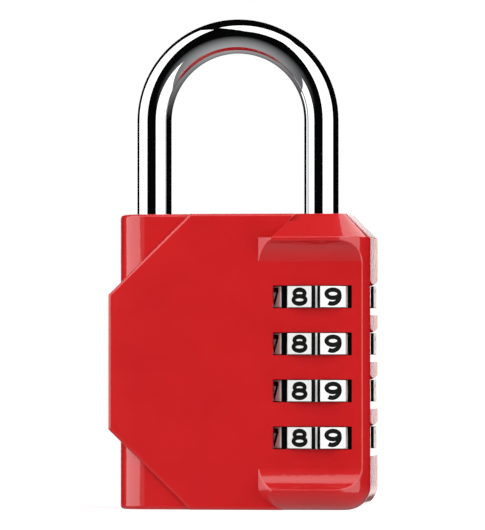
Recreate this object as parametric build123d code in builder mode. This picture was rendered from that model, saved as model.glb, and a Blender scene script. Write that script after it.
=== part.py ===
"""Four-dial combination padlock. Millimetres, +Z up, front faces -Y, dials at +X.

The origin is the middle of the lock's own bounding box in plan, at the underside of the body.
"""

import math
import os

from build123d import *

os.makedirs("parts", exist_ok=True)

# --- body outline --------------------------------------------------------------------------------
BODY_HEIGHT = 48.0
FACE_Y = 7.6  # the raised face plate, and the floor of the saddle
BLOCK_Y = 6.9  # the plain block behind the plate's cut corners
PLATE_LEFT = -21.4
PLATE_LOW_Z = 13.0  # the plate's left side runs from here
PLATE_HIGH_Z = 34.9  # to here
PLATE_CORNER_X = -8.0  # where its slanting sides reach the top and the underside
BLOCK_LEFT = -20.2
BLOCK_CORNER = 4.7
BLOCK_EDGE = 0.6
PLATE_EDGE = 0.5

# --- barrel around the dials ---------------------------------------------------------------------
DIAL_X = 12.6  # axis of the dials and of the shackle's heel leg
BARREL_Y = 10.0
BARREL_SIDE = 8.6
BARREL_CORNER = 5.5
CAP_EDGE = 0.2
WEDGE_X = -9.3  # the slanting flank meets the face plate here, measured from the dial axis
FLANK_X = -6.97  # and the barrel's front here, which is also the cap's left end
CAP_Z = 44.1  # foot of the bevelled cap
CAP_BEVEL = BODY_HEIGHT - CAP_Z
FOOT_CUT_X = -5.5  # the rounding of the foot runs on to here in the face plate
FOOT_ROUND = 3.9
SADDLE_LOW_Z = 6.75
SADDLE_HIGH_Z = 40.2
SCOOP_START = 10.0  # degrees by which each scoop dips where it leaves the floor
SCOOP_END = 60.0  # and where it reaches the front
SADDLE_EDGE = 0.3

# --- dials ---------------------------------------------------------------------------------------
DIAL_COUNT = 4
TOP_DIAL_Z = 34.5
DIAL_PITCH = 7.6
DIAL_HEIGHTS = [TOP_DIAL_Z - DIAL_PITCH * i for i in range(DIAL_COUNT)]
DIGITS = 10
DIGIT_STEP = 360 / DIGITS
FIRST_DIGIT = 8  # the left-hand figure of the two at the front
CROWN_TURN = 1.8  # the figures sit this far round from the clicks, to face the reader
FIRST_DIGIT_ANGLE = -90 - DIGIT_STEP / 2 + CROWN_TURN
FIRST_CLICK_ANGLE = 180
PAD_APOTHEM = 8.8
CROWN_HEIGHT = 3.5
GROOVE_WIDTH = 1.44
GROOVE_FLOOR = 8.15
HUB_RADIUS = 6.5
HUB_HEIGHT = 7.4
DIAL_BORE = 5.2
KEY_RADIUS = 5.85
KEY_WIDTH = 1.4
KEY_RELIEF_LOW = -2.4  # from the dial's middle
KEY_RELIEF_HIGH = -0.2
CLICK_RADIUS = 0.8
CLICK_CENTRE = 7.1
PAD_CHAMFER = 0.1
ENGRAVING = 0.12
FIGURE_WIDTH = 2.85
FIGURE_HEIGHT = 3.0
STROKE = 0.74

# --- room for the dials in the casing ------------------------------------------------------------
SLOT_HEIGHT = 3.7
SLOT_RADIUS = 9.25
WINDOW_HALF = 6.45
WINDOW_SHIFT = -0.5  # middle of the windows, from the dial axis
HUB_ROOM_RADIUS = 6.6
END_PLAY = 0.1
THUMB_FLOOR = 7.9  # radius of the thumb relief at the side of each dial
THUMB_START = -29.0  # degrees round the dial axis, from the front post
THUMB_SWEEP = 84.0  # to the rear window
THUMB_DROP = 2.95
THUMB_RISE = 1.7
THUMB_SLOPE = 0.5

# --- shackle -------------------------------------------------------------------------------------
TOE_X = -15.0
ROD_RADIUS = 2.8
ROD_CLEARANCE = 0.1
SHACKLE_TOP = 80.0
TOE_DEPTH = 6.0
TOE_ROOM = 0.4
LIFT = 7.6
HEEL_END_Z = 6.6
FIN_RADIUS = 4.0
FIN_WIDTH = 2.0
FIN_HEIGHT = 1.6
FIN_LOW = -3.4  # foot of each fin, from its dial's middle
FIN_HEAD_ROOM = 0.1
MOUTH_BEVEL = 0.35

# --- code sleeves --------------------------------------------------------------------------------
SLEEVE_RADIUS = 5.1
SLEEVE_BORE = 2.9
FIN_ROOM_RADIUS = 4.3
FIN_ROOM_HEIGHT = 2.2
GATE_WIDTH = 2.4
TAB_RADIUS = 5.75
TAB_WIDTH = 1.2
TAB_LOW = 0.6
TAB_HIGH = 1.6

# --- springs, washer, plug and pins --------------------------------------------------------------
SPRING_ROOM_RADIUS = 5.2
SPRING_ROOM_FLOOR = 2.4
PLUG_RADIUS = 3.7
PLUG_HEIGHT = 2.2
STUD_RADIUS = 1.0
STUD_TOP = 6.0
WASHER_RADIUS = 4.95
WASHER_BORE = 3.1
WASHER_THICKNESS = 0.6
WASHER_TOP = 7.85
RETURN_WIRE = 0.6
RETURN_MEAN_RADIUS = 4.5
RETURN_TURNS = 4.0
LIFT_WIRE = 0.4
LIFT_MEAN_RADIUS = 1.4
LIFT_TURNS = 15.0
HEEL_BORE = 1.8
HEEL_BORE_TOP = 18.0
SPRING_GAP = 0.05
BALL_RADIUS = 0.6
BALL_GAP = 0.06
BALL_RISE = 2.8  # above the dial's middle
BALL_BORE = 0.65
BALL_BORE_END = 11.4  # from the dial axis
DETENT_WIRE = 0.2
DETENT_MEAN_RADIUS = 0.42
DETENT_TURNS = 6.0
PIN_RADIUS = 1.5
PIN_HALF_LENGTH = 3.6
PIN_SPOTS = [(-7.0, 43.0), (-7.0, 5.0), (-17.6, 29.0), (-17.6, 17.0)]
PIN_CHAMFER = 0.3
PRESS_GAP = 0.02
PARTING_GAP = 0.025  # half the hairline between the casings
CORE_Y = 5.2  # the hollow behind the face plate reaches this far from the parting face
CORE_CORNER = 1.2
CORE_OUTLINE = [(-14.5, 12.0), (-3.0, 8.5), (-1.5, 11.0), (-1.5, 37.0), (-11.0, 37.0), (-14.5, 33.0)]


def on_dial_axis(height):
    """A level plane centred on the dial axis."""
    return Plane((DIAL_X, 0, height))


def save(part, label):
    part.label = label
    export_step(part, f"parts/{label}.step")


# --- the outside of the body ---------------------------------------------------------------------
# Plain block: the left part of the body, with rounded upright corners.
with BuildPart() as block:
    with BuildSketch() as block_plan:
        with Locations(((BLOCK_LEFT + DIAL_X) / 2, 0)):
            Rectangle(DIAL_X - BLOCK_LEFT, 2 * BLOCK_Y)
        left_corners = block_plan.vertices().group_by(Axis.X)[0]
        fillet(left_corners, BLOCK_CORNER)
    extrude(amount=BODY_HEIGHT)
    for face in (block.faces().sort_by(Axis.Z)[-1], block.faces().sort_by(Axis.Z)[0]):
        rim = face.edges().filter_by_position(Axis.X, BLOCK_LEFT - 1, DIAL_X - 1)
        fillet(rim, BLOCK_EDGE)

# Face plate: a six-sided slab that stands proud of the block, front and rear.
with BuildPart() as plate:
    with BuildSketch(Plane.XZ.offset(-FACE_Y)):
        with BuildLine():
            Polyline(
                (DIAL_X, 0),
                (PLATE_CORNER_X, 0),
                (PLATE_LEFT, PLATE_LOW_Z),
                (PLATE_LEFT, PLATE_HIGH_Z),
                (PLATE_CORNER_X, BODY_HEIGHT),
                (DIAL_X, BODY_HEIGHT),
                close=True,
            )
        make_face()
    extrude(amount=2 * FACE_Y)
    outline = plate.edges().filter_by(lambda e: abs(abs(e.center().Y) - FACE_Y) < 0.01)
    fillet(outline.filter_by_position(Axis.X, PLATE_LEFT - 1, DIAL_X - 1), PLATE_EDGE)

# Barrel: a prism with one slanting flank at the left, rounded at the foot.
corner_x = BARREL_SIDE - BARREL_CORNER
corner_y = BARREL_Y - BARREL_CORNER


def barrel_half(side_y):
    """Half of the barrel's plan, from the middle of the side round to the left."""
    corner_middle = BARREL_CORNER * math.sqrt(0.5)
    Line((BARREL_SIDE, 0), (BARREL_SIDE, side_y * corner_y))
    ThreePointArc(
        (BARREL_SIDE, side_y * corner_y),
        (corner_x + corner_middle, side_y * (corner_y + corner_middle)),
        (corner_x, side_y * BARREL_Y),
    )
    Polyline(
        (corner_x, side_y * BARREL_Y),
        (FLANK_X, side_y * BARREL_Y),
        (WEDGE_X, side_y * FACE_Y),
        (WEDGE_X, 0),
    )


with BuildPart() as barrel:
    with BuildSketch(on_dial_axis(0)):
        with BuildLine():
            barrel_half(-1)
            barrel_half(1)
        make_face()
    extrude(amount=CAP_Z)
    foot = barrel.faces().sort_by(Axis.Z)[0].edges()
    fillet(foot.filter_by(lambda e: e.center().X > DIAL_X + WEDGE_X + CAP_EDGE), FOOT_ROUND)

# The barrel's cap ends square at the left, and is bevelled all round.
with BuildPart() as cap:
    with BuildSketch(on_dial_axis(CAP_Z - CAP_BEVEL)) as cap_plan:
        with Locations(((BARREL_SIDE + FLANK_X) / 2, 0)):
            Rectangle(BARREL_SIDE - FLANK_X, 2 * BARREL_Y)
        fillet(cap_plan.vertices().group_by(Axis.X)[-1], BARREL_CORNER)
    extrude(amount=2 * CAP_BEVEL)
    chamfer(cap.faces().sort_by(Axis.Z)[-1].edges(), CAP_BEVEL)
    split(bisect_by=on_dial_axis(CAP_Z), keep=Keep.TOP)


def cap_clearance(side_y):
    """What the cap's bevels take off the end of the face plate."""
    with BuildPart() as clearance:
        with BuildSketch(Plane.YZ.offset(DIAL_X + FLANK_X)):
            with BuildLine():
                Polyline(
                    (side_y * BARREL_Y, CAP_Z),
                    (side_y * (BARREL_Y - CAP_BEVEL), BODY_HEIGHT),
                    (side_y * BARREL_Y, BODY_HEIGHT),
                    close=True,
                )
            make_face()
        extrude(amount=-FLANK_X)
        split(bisect_by=Plane((DIAL_X + FLANK_X, 0, CAP_Z), z_dir=(1, 0, -1)), keep=Keep.TOP)
    return clearance.part


# Scoop: an arc from the saddle's floor out to the front of the barrel.
scoop_start = math.radians(SCOOP_START)
scoop_end = math.radians(SCOOP_END)
scoop_radius = (BARREL_Y - FACE_Y) / (math.cos(scoop_start) - math.cos(scoop_end))


def scoop_point(tilt):
    """How far forward the scoop's surface is, and how far from the floor's end, where it tilts by tilt."""
    forward = FACE_Y + scoop_radius * (math.cos(scoop_start) - math.cos(tilt))
    return forward, scoop_radius * (math.sin(tilt) - math.sin(scoop_start))


with BuildPart() as body:
    add(block.part)
    add(plate.part)
    add(barrel.part)
    add(cap.part)
    # The cap's bevel and the foot's rounding run on through the ends of the face plate.
    for side_y in (-1, 1):
        add(cap_clearance(side_y), mode=Mode.SUBTRACT)
        with BuildSketch(Plane.YZ.offset(DIAL_X + FOOT_CUT_X)):
            foot_y = BARREL_Y - FOOT_ROUND
            middle = FOOT_ROUND * math.sqrt(0.5)
            with BuildLine():
                ThreePointArc(
                    (side_y * BARREL_Y, FOOT_ROUND),
                    (side_y * (foot_y + middle), FOOT_ROUND - middle),
                    (side_y * foot_y, 0),
                )
                Polyline((side_y * foot_y, 0), (side_y * BARREL_Y, 0), (side_y * BARREL_Y, FOOT_ROUND))
            make_face()
        extrude(amount=-FOOT_CUT_X, mode=Mode.SUBTRACT)
    # The saddle: a flat floor in front of the dials, scooped at both ends.
    for side_y in (-1, 1):
        with BuildSketch(Plane.YZ.offset(DIAL_X + 1.5 * WEDGE_X)):
            half_swing_y, half_swing_z = scoop_point((scoop_start + scoop_end) / 2)
            rise = scoop_point(scoop_end)[1]
            with BuildLine():
                Line((side_y * FACE_Y, SADDLE_LOW_Z), (side_y * FACE_Y, SADDLE_HIGH_Z))
                ThreePointArc(
                    (side_y * FACE_Y, SADDLE_HIGH_Z),
                    (side_y * half_swing_y, SADDLE_HIGH_Z + half_swing_z),
                    (side_y * BARREL_Y, SADDLE_HIGH_Z + rise),
                )
                Polyline(
                    (side_y * BARREL_Y, SADDLE_HIGH_Z + rise),
                    (side_y * (BARREL_Y + 1), SADDLE_HIGH_Z + rise),
                    (side_y * (BARREL_Y + 1), SADDLE_LOW_Z - rise),
                    (side_y * BARREL_Y, SADDLE_LOW_Z - rise),
                )
                ThreePointArc(
                    (side_y * BARREL_Y, SADDLE_LOW_Z - rise),
                    (side_y * half_swing_y, SADDLE_LOW_Z - half_swing_z),
                    (side_y * FACE_Y, SADDLE_LOW_Z),
                )
            make_face()
        extrude(amount=-3 * WEDGE_X, mode=Mode.SUBTRACT)

    # Soft edges: round the saddle, and along the foot, the left corner and the top of the cap's bevel.
    scoops = body.faces().filter_by(GeomType.CYLINDER)
    scoops = scoops.filter_by(lambda f: abs(f.radius - scoop_radius) < 0.001)
    saddle_rim = scoops.edges().filter_by(lambda e: abs(e.center().Y) > FACE_Y + 0.01)
    floor_x = DIAL_X + corner_x + math.sqrt(BARREL_CORNER**2 - (FACE_Y - corner_y) ** 2)
    floor_rim = body.edges().filter_by_position(Axis.X, floor_x - 0.01, floor_x + 0.01)
    cap_end_x = DIAL_X + FLANK_X
    uprights = body.edges().filter_by(Axis.Z).filter_by_position(Axis.X, cap_end_x - 0.01, cap_end_x + 0.01)
    bevel_foot = body.edges().filter_by_position(Axis.Z, CAP_Z - 0.01, CAP_Z + 0.01)
    bevel_foot = bevel_foot.filter_by(lambda e: e.center().X > cap_end_x + CAP_EDGE)
    mitre_z = (CAP_Z + BODY_HEIGHT - (FACE_Y - (BARREL_Y - CAP_BEVEL))) / 2
    mitres = body.edges().filter_by_position(Axis.Z, mitre_z - 0.01, mitre_z + 0.01)
    mitres = mitres.filter_by(lambda e: abs(e.center().Y) > FACE_Y + 0.01)
    fillet(saddle_rim + floor_rim + uprights + bevel_foot + mitres, SADDLE_EDGE)
    bevel_top = body.edges().filter_by_position(Axis.Z, BODY_HEIGHT - 0.01, BODY_HEIGHT + 0.01)
    fillet(bevel_top.filter_by(lambda e: e.center().X > cap_end_x + CAP_BEVEL - 0.01), CAP_EDGE)

# --- the inside of the body ----------------------------------------------------------------------
top_dial = DIAL_HEIGHTS[0]
bottom_dial = DIAL_HEIGHTS[-1]
hub_room_top = top_dial + HUB_HEIGHT / 2 + END_PLAY
hub_room_floor = bottom_dial - HUB_HEIGHT / 2 - END_PLAY
fin_roof = top_dial + FIN_LOW + FIN_HEIGHT + LIFT + FIN_HEAD_ROOM
toe_floor = BODY_HEIGHT - TOE_DEPTH - TOE_ROOM
rod_hole = ROD_RADIUS + ROD_CLEARANCE

with BuildPart() as shell:
    add(body.part)
    # Stepped bore on the dial axis: plug, springs, hubs, top fin, rod.
    steps = [
        (0, SPRING_ROOM_FLOOR, PLUG_RADIUS + PRESS_GAP),
        (SPRING_ROOM_FLOOR, hub_room_floor, SPRING_ROOM_RADIUS),
        (hub_room_floor, hub_room_top, HUB_ROOM_RADIUS),
        (hub_room_top, fin_roof, FIN_ROOM_RADIUS),
        (fin_roof, BODY_HEIGHT, rod_hole),
    ]
    for low, high, radius in steps:
        with BuildSketch(on_dial_axis(low)):
            Circle(radius)
        extrude(amount=high - low, mode=Mode.SUBTRACT)
    # Blind socket for the toe.
    with BuildSketch(Plane((TOE_X, 0, toe_floor))):
        Circle(rod_hole)
    extrude(amount=BODY_HEIGHT - toe_floor, mode=Mode.SUBTRACT)
    mouths = shell.edges().filter_by(GeomType.CIRCLE).filter_by(
        lambda e: abs(e.radius - rod_hole) < 0.001 and abs(e.center().Z - BODY_HEIGHT) < 0.001
    )
    chamfer(mouths, MOUTH_BEVEL)
    for height in DIAL_HEIGHTS:
        # Round slot for the crown of the dial.
        with BuildSketch(on_dial_axis(height - SLOT_HEIGHT / 2)):
            Circle(SLOT_RADIUS)
        extrude(amount=SLOT_HEIGHT, mode=Mode.SUBTRACT)
        # Windows in the front and rear of the saddle.
        window_x = DIAL_X + WINDOW_SHIFT
        window_corner_y = math.sqrt(SLOT_RADIUS**2 - (WINDOW_HALF - WINDOW_SHIFT) ** 2)
        window_y = (SLOT_RADIUS + window_corner_y) / 2
        with Locations((window_x, -window_y, height), (window_x, window_y, height)):
            Box(
                2 * WINDOW_HALF,
                2 * (SLOT_RADIUS - window_y),
                SLOT_HEIGHT,
                mode=Mode.SUBTRACT,
            )
        # Thumb relief round the side.
        start = math.radians(THUMB_START)
        outward = (math.cos(start), math.sin(start), 0)
        sideways = (math.sin(start), -math.cos(start), 0)
        with BuildSketch(Plane((DIAL_X, 0, height), x_dir=outward, z_dir=sideways)):
            with BuildLine():
                Polyline(
                    (THUMB_FLOOR, -THUMB_DROP),
                    (BARREL_Y + 2, -THUMB_DROP),
                    (BARREL_Y + 2, THUMB_RISE + THUMB_SLOPE * (BARREL_Y + 2 - THUMB_FLOOR)),
                    (THUMB_FLOOR, THUMB_RISE),
                    close=True,
                )
            make_face()
        revolve(axis=Axis((DIAL_X, 0, 0), (0, 0, 1)), revolution_arc=THUMB_SWEEP, mode=Mode.SUBTRACT)
        # Bore for the detent ball and its spring.
        with BuildSketch(Plane((DIAL_X - BALL_BORE_END, 0, height + BALL_RISE), z_dir=(1, 0, 0))):
            Circle(BALL_BORE)
        extrude(amount=BALL_BORE_END - HUB_RADIUS, mode=Mode.SUBTRACT)
    # Hollow behind the face plate.
    with BuildSketch(Plane.XZ.offset(-CORE_Y)) as hollow:
        with BuildLine():
            Polyline(*CORE_OUTLINE, close=True)
        make_face()
        fillet(hollow.vertices(), CORE_CORNER)
    extrude(amount=2 * CORE_Y, mode=Mode.SUBTRACT)
    # Blind holes for the pins that join the halves.
    with BuildSketch(Plane.XZ.offset(-PIN_HALF_LENGTH)):
        with Locations(*PIN_SPOTS):
            Circle(PIN_RADIUS + PRESS_GAP)
    extrude(amount=2 * PIN_HALF_LENGTH, mode=Mode.SUBTRACT)

with BuildPart() as front_casing:
    add(shell.part)
    split(bisect_by=Plane.XZ.offset(PARTING_GAP), keep=Keep.TOP)

with BuildPart() as rear_casing:
    add(shell.part)
    split(bisect_by=Plane.XZ.offset(-PARTING_GAP), keep=Keep.BOTTOM)

save(front_casing.part, "front_casing")
save(rear_casing.part, "rear_casing")

# --- pins, plug and washer -----------------------------------------------------------------------
with BuildPart() as casing_pins:
    with BuildSketch(Plane.XZ.offset(-PIN_HALF_LENGTH + PRESS_GAP)):
        with Locations(*PIN_SPOTS):
            Circle(PIN_RADIUS)
    extrude(amount=2 * (PIN_HALF_LENGTH - PRESS_GAP))
    ends = casing_pins.edges().filter_by(GeomType.CIRCLE)
    chamfer(ends, PIN_CHAMFER)
save(casing_pins.part, "casing_pins")

with BuildPart() as bottom_plug:
    with BuildSketch(on_dial_axis(0)):
        Circle(PLUG_RADIUS)
    extrude(amount=PLUG_HEIGHT)
    chamfer(bottom_plug.edges().sort_by(Axis.Z)[0], PIN_CHAMFER)
    with BuildSketch(on_dial_axis(PLUG_HEIGHT)):
        Circle(STUD_RADIUS)
    extrude(amount=STUD_TOP - PLUG_HEIGHT)
    chamfer(bottom_plug.edges().sort_by(Axis.Z)[-1], PIN_CHAMFER)
save(bottom_plug.part, "bottom_plug")

with BuildPart() as thrust_washer:
    with BuildSketch(on_dial_axis(WASHER_TOP - WASHER_THICKNESS)):
        Circle(WASHER_RADIUS)
        Circle(WASHER_BORE, mode=Mode.SUBTRACT)
    extrude(amount=WASHER_THICKNESS)
save(thrust_washer.part, "thrust_washer")


def make_spring(start, direction, length, mean_radius, wire, turns, label):
    """A coil spring that fills the given length, along the given direction."""
    run = length - wire
    first_turn = Plane(start, z_dir=direction).offset(wire / 2).origin
    with BuildPart() as spring:
        with BuildLine() as coil:
            Helix(
                pitch=run / turns,
                height=run,
                radius=mean_radius,
                center=first_turn,
                direction=direction,
            )
        with BuildSketch(Plane(coil.line @ 0, z_dir=coil.line % 0)):
            Circle(wire / 2)
        sweep()
    save(spring.part, label)


make_spring(
    (DIAL_X, 0, SPRING_ROOM_FLOOR + SPRING_GAP),
    (0, 0, 1),
    WASHER_TOP - WASHER_THICKNESS - SPRING_ROOM_FLOOR - 2 * SPRING_GAP,
    RETURN_MEAN_RADIUS,
    RETURN_WIRE,
    RETURN_TURNS,
    "sleeve_return_spring",
)
make_spring(
    (DIAL_X, 0, PLUG_HEIGHT + SPRING_GAP),
    (0, 0, 1),
    HEEL_BORE_TOP - PLUG_HEIGHT - 2 * SPRING_GAP,
    LIFT_MEAN_RADIUS,
    LIFT_WIRE,
    LIFT_TURNS,
    "lift_spring",
)

ball_reach = HUB_RADIUS + BALL_GAP + BALL_RADIUS
for number, height in enumerate(DIAL_HEIGHTS, 1):
    with BuildPart() as ball:
        with Locations((DIAL_X - ball_reach, 0, height + BALL_RISE)):
            Sphere(BALL_RADIUS)
    save(ball.part, f"detent_ball_{number}")
    make_spring(
        (DIAL_X - BALL_BORE_END + SPRING_GAP, 0, height + BALL_RISE),
        (1, 0, 0),
        BALL_BORE_END - ball_reach - BALL_RADIUS - 2 * SPRING_GAP,
        DETENT_MEAN_RADIUS,
        DETENT_WIRE,
        DETENT_TURNS,
        f"detent_spring_{number}",
    )

# --- shackle -------------------------------------------------------------------------------------
bend_radius = (DIAL_X - TOE_X) / 2
bend_z = SHACKLE_TOP - ROD_RADIUS - bend_radius
toe_z = BODY_HEIGHT - TOE_DEPTH
with BuildPart() as shackle:
    with BuildLine(Plane.XZ):
        Line((DIAL_X, HEEL_END_Z), (DIAL_X, bend_z))
        ThreePointArc(
            (DIAL_X, bend_z),
            (DIAL_X - bend_radius, bend_z + bend_radius),
            (TOE_X, bend_z),
        )
        Line((TOE_X, bend_z), (TOE_X, toe_z))
    with BuildSketch(on_dial_axis(HEEL_END_Z)):
        Circle(ROD_RADIUS)
    sweep()
    ends = shackle.faces().filter_by(GeomType.PLANE).edges()
    chamfer(ends, MOUTH_BEVEL)
    for height in DIAL_HEIGHTS:
        with BuildSketch(on_dial_axis(height + FIN_LOW)):
            with Locations((-FIN_RADIUS / 2, 0)):
                Rectangle(FIN_RADIUS, FIN_WIDTH)
        extrude(amount=FIN_HEIGHT)
    with BuildSketch(on_dial_axis(HEEL_END_Z)):
        Circle(HEEL_BORE)
    extrude(amount=HEEL_BORE_TOP - HEEL_END_Z, mode=Mode.SUBTRACT)
save(shackle.part, "shackle")

# --- code sleeves --------------------------------------------------------------------------------
for number, height in enumerate(DIAL_HEIGHTS, 1):
    sleeve_foot = height - HUB_HEIGHT / 2
    with BuildPart() as sleeve:
        with BuildSketch(on_dial_axis(sleeve_foot)):
            Circle(SLEEVE_RADIUS)
        extrude(amount=HUB_HEIGHT)
        with BuildSketch(on_dial_axis(height + TAB_LOW)):
            Rectangle(TAB_WIDTH, 2 * TAB_RADIUS)
        extrude(amount=TAB_HIGH - TAB_LOW)
        with BuildSketch(on_dial_axis(sleeve_foot)):
            Circle(SLEEVE_BORE)
            with Locations((-FIN_ROOM_RADIUS / 2, 0)):
                Rectangle(FIN_ROOM_RADIUS, GATE_WIDTH)
        extrude(amount=HUB_HEIGHT, mode=Mode.SUBTRACT)
        with BuildSketch(on_dial_axis(sleeve_foot)):
            Circle(FIN_ROOM_RADIUS)
        extrude(amount=FIN_ROOM_HEIGHT, mode=Mode.SUBTRACT)
    save(sleeve.part, f"code_sleeve_{number}")


# --- number dials --------------------------------------------------------------------------------
half_w = (FIGURE_WIDTH - STROKE) / 2
half_h = (FIGURE_HEIGHT - STROKE) / 2


def spot(x, y):
    """A point of a figure, where the figure's stroke runs from -1 to 1 both ways."""
    return (x * half_w, y * half_h)


def oval(x, y, wide, high):
    with Locations(spot(x, y)):
        Ellipse(wide * half_w + STROKE / 2, high * half_h + STROKE / 2)
        Ellipse(wide * half_w - STROKE / 2, high * half_h - STROKE / 2, mode=Mode.SUBTRACT)


def stroke(*points):
    """A straight-sided stroke through the points."""
    with BuildLine() as path:
        Polyline(*[spot(*point) for point in points])
    trace(path.edges(), line_width=STROKE)


def bow(*points):
    """A curved stroke through three points."""
    with BuildLine() as path:
        ThreePointArc(*[spot(*point) for point in points])
    trace(path.edges(), line_width=STROKE)


def draw_figure(figure):
    if figure == 0:
        oval(0, 0, 1, 1)
    elif figure == 1:
        stroke((-0.7, 0.5), (0.15, 1))
        stroke((0.15, 1.2), (0.15, -1.2))
    elif figure == 2:
        bow((-0.95, 0.45), (0.1, 1), (0.9, 0.3))
        stroke((0.95, 0.4), (-0.9, -1))
        stroke((-1.3, -1), (1.25, -1))
    elif figure == 3:
        bow((-0.9, 0.65), (0.75, 0.75), (-0.1, 0.08))
        bow((-0.1, 0.08), (0.85, -0.75), (-0.95, -0.6))
    elif figure == 4:
        stroke((0.45, -1.2), (0.45, 1.1))
        stroke((0.45, 1), (-1, -0.4))
        stroke((-1.2, -0.45), (1.3, -0.45))
    elif figure == 5:
        stroke((1, 1), (-0.8, 1))
        stroke((-0.65, 1.15), (-0.85, -0.05))
        bow((-0.85, 0), (1, -0.3), (-0.95, -0.7))
    elif figure == 6:
        oval(0, -0.42, 1, 0.58)
        bow((-1, -0.35), (-0.6, 0.75), (0.7, 0.85))
    elif figure == 7:
        stroke((-1.2, 1), (1.2, 1))
        stroke((0.95, 1), (-0.3, -1.2))
    elif figure == 8:
        oval(0, 0.5, 0.85, 0.5)
        oval(0, -0.46, 1, 0.54)
    else:
        oval(0, 0.42, 1, 0.58)
        bow((1, 0.35), (0.6, -0.75), (-0.7, -0.85))


pad_angles = [FIRST_DIGIT_ANGLE + DIGIT_STEP * step for step in range(DIGITS)]
with BuildPart() as dial:
    # Crown: ten flats with a groove between each pair.
    with BuildSketch(Plane.XY.offset(-CROWN_HEIGHT / 2)):
        RegularPolygon(PAD_APOTHEM, DIGITS, major_radius=False, rotation=pad_angles[0] + DIGIT_STEP / 2)
        with PolarLocations(BARREL_Y, DIGITS, start_angle=pad_angles[0] + DIGIT_STEP / 2):
            Rectangle(2 * (BARREL_Y - GROOVE_FLOOR), GROOVE_WIDTH, mode=Mode.SUBTRACT)
    extrude(amount=CROWN_HEIGHT)
    rims = dial.faces().filter_by(Axis.Z).edges()
    chamfer(rims.filter_by(lambda e: abs(e.length) > GROOVE_WIDTH + 1), PAD_CHAMFER)
    # Hub, with a ring of scallops for the detent ball above the crown.
    with BuildSketch(Plane.XY.offset(-HUB_HEIGHT / 2)):
        Circle(HUB_RADIUS)
    extrude(amount=HUB_HEIGHT)
    with BuildSketch(Plane.XY.offset(CROWN_HEIGHT / 2)):
        with PolarLocations(CLICK_CENTRE, DIGITS, start_angle=FIRST_CLICK_ANGLE):
            Circle(CLICK_RADIUS)
    extrude(amount=HUB_HEIGHT, mode=Mode.SUBTRACT)
    # Bore, with ten keyways from the top and a relief below them for resetting.
    with BuildSketch(Plane.XY.offset(-HUB_HEIGHT / 2)):
        Circle(DIAL_BORE)
    extrude(amount=HUB_HEIGHT, mode=Mode.SUBTRACT)
    with BuildSketch(Plane.XY.offset(KEY_RELIEF_LOW)):
        Circle(KEY_RADIUS)
    extrude(amount=KEY_RELIEF_HIGH - KEY_RELIEF_LOW, mode=Mode.SUBTRACT)
    with BuildSketch(Plane.XY.offset(KEY_RELIEF_HIGH)):
        with PolarLocations(KEY_RADIUS / 2, DIGITS, start_angle=90):
            Rectangle(KEY_RADIUS, KEY_WIDTH)
    extrude(amount=HUB_HEIGHT, mode=Mode.SUBTRACT)
    # Figures cut into the flats.
    for step, angle in enumerate(pad_angles):
        turned = math.radians(angle)
        normal = (math.cos(turned), math.sin(turned), 0)
        across = (-math.sin(turned), math.cos(turned), 0)
        centre = (PAD_APOTHEM * normal[0], PAD_APOTHEM * normal[1], 0)
        with BuildSketch(Plane(centre, x_dir=across, z_dir=normal)):
            draw_figure((FIRST_DIGIT + step) % DIGITS)
        extrude(amount=-ENGRAVING, mode=Mode.SUBTRACT)

for number, height in enumerate(DIAL_HEIGHTS, 1):
    with BuildPart() as dial_ring:
        with Locations((DIAL_X, 0, height)):
            add(dial.part)
    save(dial_ring.part, f"dial_ring_{number}")
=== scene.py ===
# %% [markdown]
# # A four-dial combination padlock
# The lock is a die-cast body in red enamel, a chrome-plated shackle and four white dials.
# Its exact shapes come from the engineering model, which is loaded first and never moved.
# This lesson gives every piece the finish that it has on the real lock, then lights it.

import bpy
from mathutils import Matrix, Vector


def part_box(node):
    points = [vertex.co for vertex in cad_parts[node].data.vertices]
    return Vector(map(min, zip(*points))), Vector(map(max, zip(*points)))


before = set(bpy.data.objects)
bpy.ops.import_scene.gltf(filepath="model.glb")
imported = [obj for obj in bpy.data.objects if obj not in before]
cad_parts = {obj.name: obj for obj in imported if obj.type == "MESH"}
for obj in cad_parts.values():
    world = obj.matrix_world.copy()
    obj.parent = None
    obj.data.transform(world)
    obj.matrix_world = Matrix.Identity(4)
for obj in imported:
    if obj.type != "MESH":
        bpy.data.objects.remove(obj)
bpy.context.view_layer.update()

# %% [markdown]
# ## The camera
# A small object is best seen through a long lens from some way off, which keeps its sides
# parallel. The camera stands a little to the right of the lock and low down, level with the
# middle of its body, so the side with the dials shows and the top face does not. The lens is
# worked out from how much the camera should take in, and not guessed.

# %% Stand the camera
import math

import bpy
from mathutils import Vector

MM = 0.001
UP = Vector((0.0, 0.0, 1.0))
SENSOR = 36.0
CAMERA_YAW = math.radians(8.5)
CAMERA_DISTANCE = 850 * MM
CAMERA_HEIGHT = 24 * MM
VIEW_WIDE = 79.26 * MM  # what the camera takes in at the middle of the lock
AIM = Vector((-0.42 * MM, 0.0, 39.81 * MM))

toward_camera = Vector((math.sin(CAMERA_YAW), -math.cos(CAMERA_YAW), 0.0))
to_the_right = Vector((math.cos(CAMERA_YAW), math.sin(CAMERA_YAW), 0.0))
camera_data = bpy.data.cameras.new("camera")
camera_data.sensor_fit = "HORIZONTAL"
camera_data.sensor_width = SENSOR
camera_data.lens = SENSOR * CAMERA_DISTANCE / VIEW_WIDE
camera = bpy.data.objects.new("camera", camera_data)
bpy.context.scene.collection.objects.link(camera)
camera.location = AIM + toward_camera * CAMERA_DISTANCE
camera.location.z = CAMERA_HEIGHT
camera.rotation_euler = (AIM - camera.location).to_track_quat("-Z", "Y").to_euler()
bpy.context.scene.camera = camera
print("lens:", round(camera_data.lens), "mm")

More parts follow.
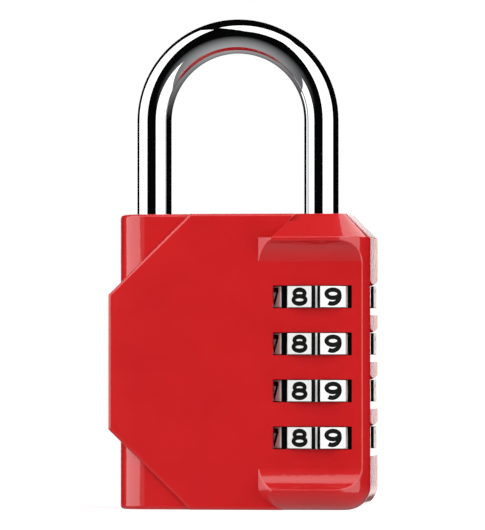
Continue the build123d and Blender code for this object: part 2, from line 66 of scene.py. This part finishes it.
# %% [markdown]
# ## The table
# The lock stands on a plain white table, a flat sheet of mesh just under it. A shiny thing
# shows everything around it, and a white table would wash out the underside of each curve. So
# the table is seen by the camera, but is switched off for reflections and bounced light.

# %% Lay the table
import bmesh

TABLE_LEFT, TABLE_RIGHT = -0.40, 0.40
TABLE_FRONT, TABLE_BACK = -0.30, 0.50
TABLE_TOP = -0.1 * MM
TABLE_CUTS = 24

editor = bmesh.new()
rows = []
for i in range(TABLE_CUTS + 1):
    y = TABLE_FRONT + (TABLE_BACK - TABLE_FRONT) * i / TABLE_CUTS
    left = editor.verts.new((TABLE_LEFT, y, TABLE_TOP))
    rows.append((left, editor.verts.new((TABLE_RIGHT, y, TABLE_TOP))))
for near, far in zip(rows, rows[1:]):
    editor.faces.new((near[0], near[1], far[1], far[0]))
table_mesh = bpy.data.meshes.new("table")
editor.to_mesh(table_mesh)
editor.free()
table = bpy.data.objects.new("table", table_mesh)
bpy.context.scene.collection.objects.link(table)
table.visible_glossy = False
table.visible_diffuse = False
table.visible_shadow = False
print("table:", round(TABLE_RIGHT - TABLE_LEFT, 2), "m wide")

# %% [markdown]
# ## Node helpers
# Every finish below is a small network of nodes. These helpers keep the networks short. The
# first three start a material, add a node, and do a sum. Distances in the networks are metres,
# measured from the model's own origin, so a pattern keeps its real size.

# %% Start a material and add nodes


def new_finish(name):
    """A material with just its surface shader: (material, node tree, shader)."""
    finish = bpy.data.materials.new(name)
    finish.use_nodes = True
    tree = finish.node_tree
    return finish, tree, tree.nodes["Principled BSDF"]


def add_node(tree, kind, inputs=None, **settings):
    """A node with its settings and its inputs, which are values or other nodes' outputs."""
    node = tree.nodes.new(kind)
    for key, value in settings.items():
        setattr(node, key, value)
    for key, value in (inputs or {}).items():
        if isinstance(value, bpy.types.NodeSocket):
            tree.links.new(value, node.inputs[key])
        else:
            node.inputs[key].default_value = value
    return node


def calc(tree, operation, *values):
    """The result of one sum."""
    return add_node(tree, "ShaderNodeMath", dict(enumerate(values)), operation=operation).outputs[0]


print("helpers: new_finish, add_node, calc")

# %% [markdown]
# ## Patterns
# Real surfaces are never one even colour. Soft noise makes blotches, ripples or, when it is
# stretched, fine lines. The next helpers place that noise on a piece, keep it inside a range,
# blend two colours with it, and turn it into a very shallow relief.

# %% Make patterns


def place(tree):
    """Where a point of the surface is, in metres."""
    return add_node(tree, "ShaderNodeTexCoord").outputs["Object"]


def noise(tree, size, detail=3.0, stretch=None):
    """Soft random blotches about size metres across, as a value from 0 to 1."""
    where = place(tree)
    if stretch:
        where = add_node(tree, "ShaderNodeMapping", {"Vector": where, "Scale": stretch}).outputs[0]
    inputs = {"Vector": where, "Scale": 1.0 / size, "Detail": detail}
    return add_node(tree, "ShaderNodeTexNoise", inputs).outputs["Fac"]


def spread(tree, value, low, high, to_low=0.0, to_high=1.0):
    """A value moved from one range to another, and kept inside it."""
    inputs = {"Value": value, "From Min": low, "From Max": high, "To Min": to_low, "To Max": to_high}
    return add_node(tree, "ShaderNodeMapRange", inputs).outputs["Result"]


def blend_colours(tree, amount, one, other):
    """One colour where amount is 0, and the other where it is 1."""
    node = tree.nodes.new("ShaderNodeMix")
    node.data_type = "RGBA"
    for socket, value in ((node.inputs[0], amount), (node.inputs[6], one), (node.inputs[7], other)):
        if isinstance(value, bpy.types.NodeSocket):
            tree.links.new(value, socket)
        else:
            socket.default_value = (*value, 1.0)
    return node.outputs[2]


def set_bump(tree, shader, height, depth):
    """Raises the surface by up to depth metres where height is 1."""
    bump = add_node(tree, "ShaderNodeBump", {"Height": height, "Distance": depth})
    tree.links.new(bump.outputs["Normal"], shader.inputs["Normal"])
    return bump


print("helpers: place, noise, spread, blend_colours, set_bump")

# %% [markdown]
# ## The table's white
# The sheet is matt and nearly white, with a cloudiness so slight that it only keeps the
# surface from looking dead. It glows, as a lit studio table does, so no edge of it shows
# against the white behind it.

# %% Finish the table
TABLE_WHITE = (0.93, 0.93, 0.93)
TABLE_CLOUD = (0.90, 0.90, 0.90)
TABLE_CLOUD_SIZE = 90 * MM
TABLE_MATT = 0.9
TABLE_GLOW = 0.92

table_finish, tree, shader = new_finish("table_white")
cloud = spread(tree, noise(tree, TABLE_CLOUD_SIZE), 0.3, 0.7)
tree.links.new(blend_colours(tree, cloud, TABLE_WHITE, TABLE_CLOUD), shader.inputs["Base Color"])
shader.inputs["Roughness"].default_value = TABLE_MATT
shader.inputs["Emission Color"].default_value = (1.0, 1.0, 1.0, 1.0)
shader.inputs["Emission Strength"].default_value = TABLE_GLOW
table.data.materials.append(table_finish)
print("table finished")

# %% [markdown]
# ## A light panel
# Chrome has no colour of its own: its stripes are the lamps and the dark between them. So a
# lamp here is a large soft panel, and what matters is where its edges lie as seen from the
# lock. This helper takes those edges as directions and heights, and works out the rest. How
# bright the panel looks stays the same whatever its size.

# %% Make a light panel
GLOW = 2.1  # brightness of a panel, where 1 is paper white


def hang_panel(name, edges, heights, distance, shines_on=None, glow=GLOW, tilt=0.0):
    """A soft panel between two directions, in degrees to the right of the camera."""
    start, end = (math.radians(edge) for edge in edges)
    middle, half = (start + end) / 2, (end - start) / 2
    low, high = heights
    outward = toward_camera * math.cos(middle) + to_the_right * math.sin(middle)
    lamp = bpy.data.lights.new(name, "AREA")
    lamp.shape = "RECTANGLE"
    lamp.size = 2 * distance * math.tan(half)
    lamp.size_y = high - low
    lamp.energy = glow * math.pi * lamp.size * lamp.size_y
    panel = bpy.data.objects.new(name, lamp)
    bpy.context.scene.collection.objects.link(panel)
    panel.location = outward * distance + UP * (low + high) / 2
    slope = math.radians(tilt)
    inward = -outward * math.cos(slope) - UP * math.sin(slope)
    panel.rotation_euler = inward.to_track_quat("-Z", "Y").to_euler()
    panel.light_linking.receiver_collection = shines_on
    panel.visible_camera = False
    print(name, round(lamp.size, 2), "x", round(lamp.size_y, 2), "m")
    return panel


# %% [markdown]
# ## Who gets which light
# Red enamel wants its lamps in other places than chrome does. Light linking solves that: a
# linked lamp shines only on the pieces of one collection. A piece may be in several.

# %% Sort the pieces
CASINGS = ("front_casing", "rear_casing")

casings = bpy.data.collections.new("casings")
all_but_casings = bpy.data.collections.new("all_but_casings")
all_but_shackle = bpy.data.collections.new("all_but_shackle")
for node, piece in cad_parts.items():
    (casings if node in CASINGS else all_but_casings).objects.link(piece)
    if node != "shackle":
        all_but_shackle.objects.link(piece)

# %% [markdown]
# ## The panels at the sides
# One large panel is on the left, and one is on the right from beside the camera round to the
# side. Behind the camera the room stays dark, which gives the black stripe down the middle of
# each leg. The casing has a left panel of its own and a dim one beside it. They draw the soft
# band down its rounded left edge.

# %% Hang the side panels
LEFT_HEIGHTS = (-0.15, 1.4)
LEFT_DISTANCE = 0.65

hang_panel("panel_left", (-122, -50), LEFT_HEIGHTS, LEFT_DISTANCE, all_but_casings)
hang_panel("panel_left_red", (-104, -38), LEFT_HEIGHTS, LEFT_DISTANCE, casings, glow=2.8)
hang_panel("panel_left_dim", (-37, -21), LEFT_HEIGHTS, LEFT_DISTANCE, casings, glow=0.45)
hang_panel("panel_right", (9, 84), (-0.35, 1.3), 0.70)

# %% [markdown]
# ## The panels behind
# Three panels keep the back of the lock and its bevels bright, and leave the shackle's stripes
# alone. The narrow one stands close behind and is there for one reflection only, the sheen on
# the flank by the dials, so it is switched off for matt light.

# %% Hang the panels behind
hang_panel("panel_rear", (100, 172), (0.35, 1.25), 0.55, all_but_shackle, glow=2.0, tilt=60)
hang_panel("panel_back", (171, 204), (-0.1, 0.6), 0.70, all_but_shackle, glow=1.3)
flank_panel = hang_panel("panel_flank", (152.6, 156.4), (-0.02, 0.12), 0.107, casings, glow=1.3)
flank_panel.visible_diffuse = False

# %% [markdown]
# ## The panel overhead
# A tilted panel above the camera lights the dials and the top of the shackle. The casing gets
# the same panel as a reflection only. Its slanting cap faces straight up at the lamp and would
# otherwise be much paler than its front.

# %% Hang the overhead panels
OVERHEAD = ((-28, 60), (0.575, 1.325), 0.50)
OVERHEAD_TILT = 58

hang_panel("panel_top", *OVERHEAD, all_but_casings, tilt=OVERHEAD_TILT)
cap_panel = hang_panel("panel_top_red", *OVERHEAD, casings, tilt=OVERHEAD_TILT)
cap_panel.visible_diffuse = False

# %% [markdown]
# ## The room
# Beyond the table there is nothing: a white background for the camera, and for everything that
# the lock mirrors a dark room, whose ground turns grey close to the lock. The grey is what the
# underside of the shackle's bow shows. Plain display of colours, with no film curve over them,
# keeps the white pure and the red full.

# %% Paint the room
ROOM_DARK = 0.003
GROUND_GREY = 0.6

room = bpy.data.worlds.new("room")
bpy.context.scene.world = room
room.use_nodes = True
tree = room.node_tree
seen = add_node(tree, "ShaderNodeLightPath").outputs["Is Camera Ray"]
direction = add_node(tree, "ShaderNodeTexCoord").outputs["Generated"]
height = add_node(tree, "ShaderNodeSeparateXYZ", {"Vector": direction}).outputs[2]
dark = spread(tree, height, -1.0, 0.0, GROUND_GREY, ROOM_DARK)
background = tree.nodes["Background"]
background.inputs["Color"].default_value = (1.0, 1.0, 1.0, 1.0)
tree.links.new(calc(tree, "MAXIMUM", seen, dark), background.inputs["Strength"])
bpy.context.scene.view_settings.view_transform = "Standard"
print("room painted")

# %% [markdown]
# ## Putting a finish on
# The engineering model's pieces keep their meshes. Only the material in each slot changes.

# %% Put a finish on a piece


def put_finish(node, finish):
    """Gives a piece of the engineering model its finish."""
    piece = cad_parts[node]
    if not piece.material_slots:
        piece.data.materials.append(finish)
    for material_slot in piece.material_slots:
        material_slot.material = finish


print("helper: put_finish")

# %% [markdown]
# ## Red enamel
# The body is die-cast zinc in thick gloss enamel. Enamel levels out as it bakes but never goes
# quite flat, so a fine ripple breaks up its reflections. The colour is a little deeper where
# the coat is thick. Base colour, a clear coat and a shallow bump give all of that. The ripple
# is put into the coat as well, since the coat is what shines.

# %% Enamel the casing
RED = (0.56, 0.010, 0.012)
RED_THICK = (0.51, 0.008, 0.010)
CLOUD_SIZE = 9 * MM
SMEAR_SIZE = 2.5 * MM
RIPPLE_SIZE = 1.1 * MM
RIPPLE_DEPTH = 0.012 * MM

casing_paint, tree, shader = new_finish("casing_paint")
cloud = spread(tree, noise(tree, CLOUD_SIZE), 0.3, 0.7)
tree.links.new(blend_colours(tree, cloud, RED, RED_THICK), shader.inputs["Base Color"])
smear = spread(tree, noise(tree, SMEAR_SIZE), 0.3, 0.7, 0.34, 0.42)
tree.links.new(smear, shader.inputs["Roughness"])
shader.inputs["Specular IOR Level"].default_value = 0.15
shader.inputs["Coat Weight"].default_value = 1.0
shader.inputs["Coat Roughness"].default_value = 0.08
shader.inputs["Coat IOR"].default_value = 1.5
bump = set_bump(tree, shader, noise(tree, RIPPLE_SIZE, 2.0), RIPPLE_DEPTH)
tree.links.new(bump.outputs["Normal"], shader.inputs["Coat Normal"])
for node in CASINGS:
    put_finish(node, casing_paint)
print("casing enamelled")

# %% [markdown]
# ## Chrome plate
# The shackle is a hardened steel bar, polished and then plated. Plate mirrors its surroundings
# well, and gives back a little over half of the light. What shows it is real are a hint of
# haze and hair-thin polishing lines along the bar.

# %% Plate the shackle
CHROME = (0.60, 0.61, 0.62)
CHROME_DULL = (0.55, 0.56, 0.58)
HAZE_SIZE = 6 * MM
POLISH_SIZE = 0.25 * MM
POLISH_DEPTH = 0.0004 * MM
ALONG_THE_BAR = (1.0, 1.0, 0.05)

shackle_chrome, tree, shader = new_finish("shackle_chrome")
haze = spread(tree, noise(tree, HAZE_SIZE, 4.0), 0.35, 0.7)
tree.links.new(blend_colours(tree, haze, CHROME, CHROME_DULL), shader.inputs["Base Color"])
tree.links.new(spread(tree, haze, 0.0, 1.0, 0.02, 0.045), shader.inputs["Roughness"])
shader.inputs["Metallic"].default_value = 1.0
set_bump(tree, shader, noise(tree, POLISH_SIZE, 2.0, ALONG_THE_BAR), POLISH_DEPTH)
put_finish("shackle", shackle_chrome)
print("shackle plated")

# %% [markdown]
# ## The dials
# Each dial is a ring with ten flats. White enamel covers it and its figures have a black filling.
# The edges of the grooves that the thumb pushes are black as well, as painted shade in the grooves.
# The figures are already cut into the flats, so a mask picks out whatever lies below a flat. The
# mask folds the ring's ten sectors onto one and measures how far out each point is, and one
# network then serves all four dials.

# %% Measure the dials
DIALS = ("dial_ring_1", "dial_ring_2", "dial_ring_3", "dial_ring_4")
SECTOR = math.radians(36)
FIRST_FLAT = math.radians(-106.2)
FLAT_OUT = 8.74 * MM  # a point further out than this is on a flat
GROOVE_STRIPE = 0.17 * MM  # half the white stripe along each groove
HUB = 7.9 * MM  # inside this the dial is bare metal

dial_low, dial_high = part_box(DIALS[0])
dial_axis = (dial_low + dial_high) / 2
print("dial axis at x =", round(dial_axis.x, 5), "m")

# %% Fold the ten sectors onto one


def fold_sectors(tree):
    """How far out a point is, how far along its flat's own direction, and how near a groove."""
    xyz = add_node(tree, "ShaderNodeSeparateXYZ", {"Vector": place(tree)})
    across = calc(tree, "SUBTRACT", xyz.outputs[0], dial_axis.x)
    along = xyz.outputs[1]
    across_squared = calc(tree, "MULTIPLY", across, across)
    out = calc(tree, "SQRT", calc(tree, "ADD", across_squared, calc(tree, "MULTIPLY", along, along)))
    turn = calc(tree, "SUBTRACT", calc(tree, "ARCTAN2", along, across), FIRST_FLAT)
    turn = calc(tree, "WRAP", turn, SECTOR / 2, -SECTOR / 2)
    flat_out = calc(tree, "MULTIPLY", out, calc(tree, "COSINE", turn))
    to_edge = calc(tree, "SUBTRACT", SECTOR / 2, calc(tree, "ABSOLUTE", turn))
    to_groove = calc(tree, "MULTIPLY", out, calc(tree, "SINE", to_edge))
    return out, flat_out, to_groove


def figure_and_groove_shade_mask(tree, flat_out, to_groove):
    """1 where black goes, the figure filling and painted groove shade: below a flat, off the groove
    stripe.
    """
    below = calc(tree, "LESS_THAN", flat_out, FLAT_OUT)
    stripe = calc(tree, "LESS_THAN", to_groove, GROOVE_STRIPE)
    return calc(tree, "MULTIPLY", below, calc(tree, "SUBTRACT", 1.0, stripe))


print("helpers: fold_sectors, figure_and_groove_shade_mask")

# %% [markdown]
# ## Dial enamel
# The white has the faint grime of handling, in small patches. The black, the figures' filling and
# the painted shade on the groove walls alike, is matt, or it would catch the overhead lamp and turn
# grey. The hub under the enamel is plain nickel.

# %% Enamel the dials
WHITE = (0.90, 0.90, 0.89)
WHITE_OLD = (0.86, 0.86, 0.84)
BLACK = (0.004, 0.004, 0.004)
NICKEL = (0.55, 0.54, 0.52)
# MATT covers all the black: the figures' filling and the painted shade on the groove walls.
MATT = 0.75  # how rough the black filling is
GRIME_SIZE = 1.6 * MM
DIAL_RIPPLE_SIZE = 0.5 * MM
DIAL_RIPPLE_DEPTH = 0.004 * MM

dial_enamel, tree, shader = new_finish("dial_enamel")
out, flat_out, to_groove = fold_sectors(tree)
figures_and_groove_shade = figure_and_groove_shade_mask(tree, flat_out, to_groove)
bare = calc(tree, "LESS_THAN", out, HUB)
grime = spread(tree, noise(tree, GRIME_SIZE, 4.0), 0.4, 0.75)
colour = blend_colours(tree, grime, WHITE, WHITE_OLD)
# Black for the figures' filling, and black on the groove walls as painted shade.
colour = blend_colours(tree, figures_and_groove_shade, colour, BLACK)
colour = blend_colours(tree, bare, colour, NICKEL)
tree.links.new(colour, shader.inputs["Base Color"])
tree.links.new(bare, shader.inputs["Metallic"])
gloss = spread(tree, grime, 0.0, 1.0, 0.28, 0.4)
gloss = calc(tree, "MAXIMUM", gloss, calc(tree, "MULTIPLY", figures_and_groove_shade, MATT))
tree.links.new(gloss, shader.inputs["Roughness"])
shader.inputs["Specular IOR Level"].default_value = 0.12
set_bump(tree, shader, noise(tree, DIAL_RIPPLE_SIZE, 2.0), DIAL_RIPPLE_DEPTH)
for node in DIALS:
    put_finish(node, dial_enamel)
print("dials enamelled")

# %% [markdown]
# ## The works inside
# Brass code sleeves, springs, balls, pins and the bottom plug are bare metal. They differ in
# colour and in how they were made, and so in the marks on them: turning leaves fine rings,
# drawing leaves lines along a wire and stamping leaves a dull skin. One helper makes them all.

# %% Make a bare metal
TARNISH_SIZE = 1.8 * MM
TARNISH_DULLS = 0.15  # how much rougher a metal is where it has tarnished


def bare_metal(name, colour, tarnish, rough, mark_size, mark_depth, stretch=None):
    """A bare metal with blotches of tarnish and marks from its making."""
    finish, tree, shader = new_finish(name)
    blotch = spread(tree, noise(tree, TARNISH_SIZE, 4.0), 0.35, 0.7)
    tree.links.new(blend_colours(tree, blotch, colour, tarnish), shader.inputs["Base Color"])
    roughness = spread(tree, blotch, 0.0, 1.0, rough, rough + TARNISH_DULLS)
    tree.links.new(roughness, shader.inputs["Roughness"])
    shader.inputs["Metallic"].default_value = 1.0
    set_bump(tree, shader, noise(tree, mark_size, 2.0, stretch), mark_depth)
    return finish


print("helper: bare_metal")

# %% Choose the metals
RINGS = (0.1, 0.1, 1.0)  # stretches the marks into rings about the upright axis
STEEL = (0.50, 0.50, 0.52)

sleeve_brass = bare_metal("sleeve_brass", (0.72, 0.53, 0.24), (0.55, 0.38, 0.16), 0.22,
                          0.15 * MM, 0.004 * MM, RINGS)
plug_zinc = bare_metal("plug_zinc", (0.55, 0.55, 0.56), (0.42, 0.42, 0.44), 0.38,
                       0.3 * MM, 0.006 * MM)
pin_steel = bare_metal("pin_steel", STEEL, (0.40, 0.40, 0.42), 0.25,
                       0.12 * MM, 0.003 * MM, RINGS)
washer_steel = bare_metal("washer_steel", STEEL, (0.36, 0.36, 0.38), 0.35,
                          0.4 * MM, 0.005 * MM)
spring_steel = bare_metal("spring_steel", (0.45, 0.45, 0.47), (0.33, 0.33, 0.36), 0.24,
                          0.08 * MM, 0.002 * MM)
print("metals: brass, zinc and three steels")

# %% Finish the works
WORKS = {"bottom_plug": plug_zinc, "casing_pins": pin_steel, "thrust_washer": washer_steel,
         "sleeve_return_spring": spring_steel, "lift_spring": spring_steel}
for number in range(1, len(DIALS) + 1):
    WORKS[f"code_sleeve_{number}"] = sleeve_brass
    WORKS[f"detent_ball_{number}"] = pin_steel
    WORKS[f"detent_spring_{number}"] = spring_steel
for node, finish in WORKS.items():
    put_finish(node, finish)
print("finished", len(WORKS), "inner pieces")
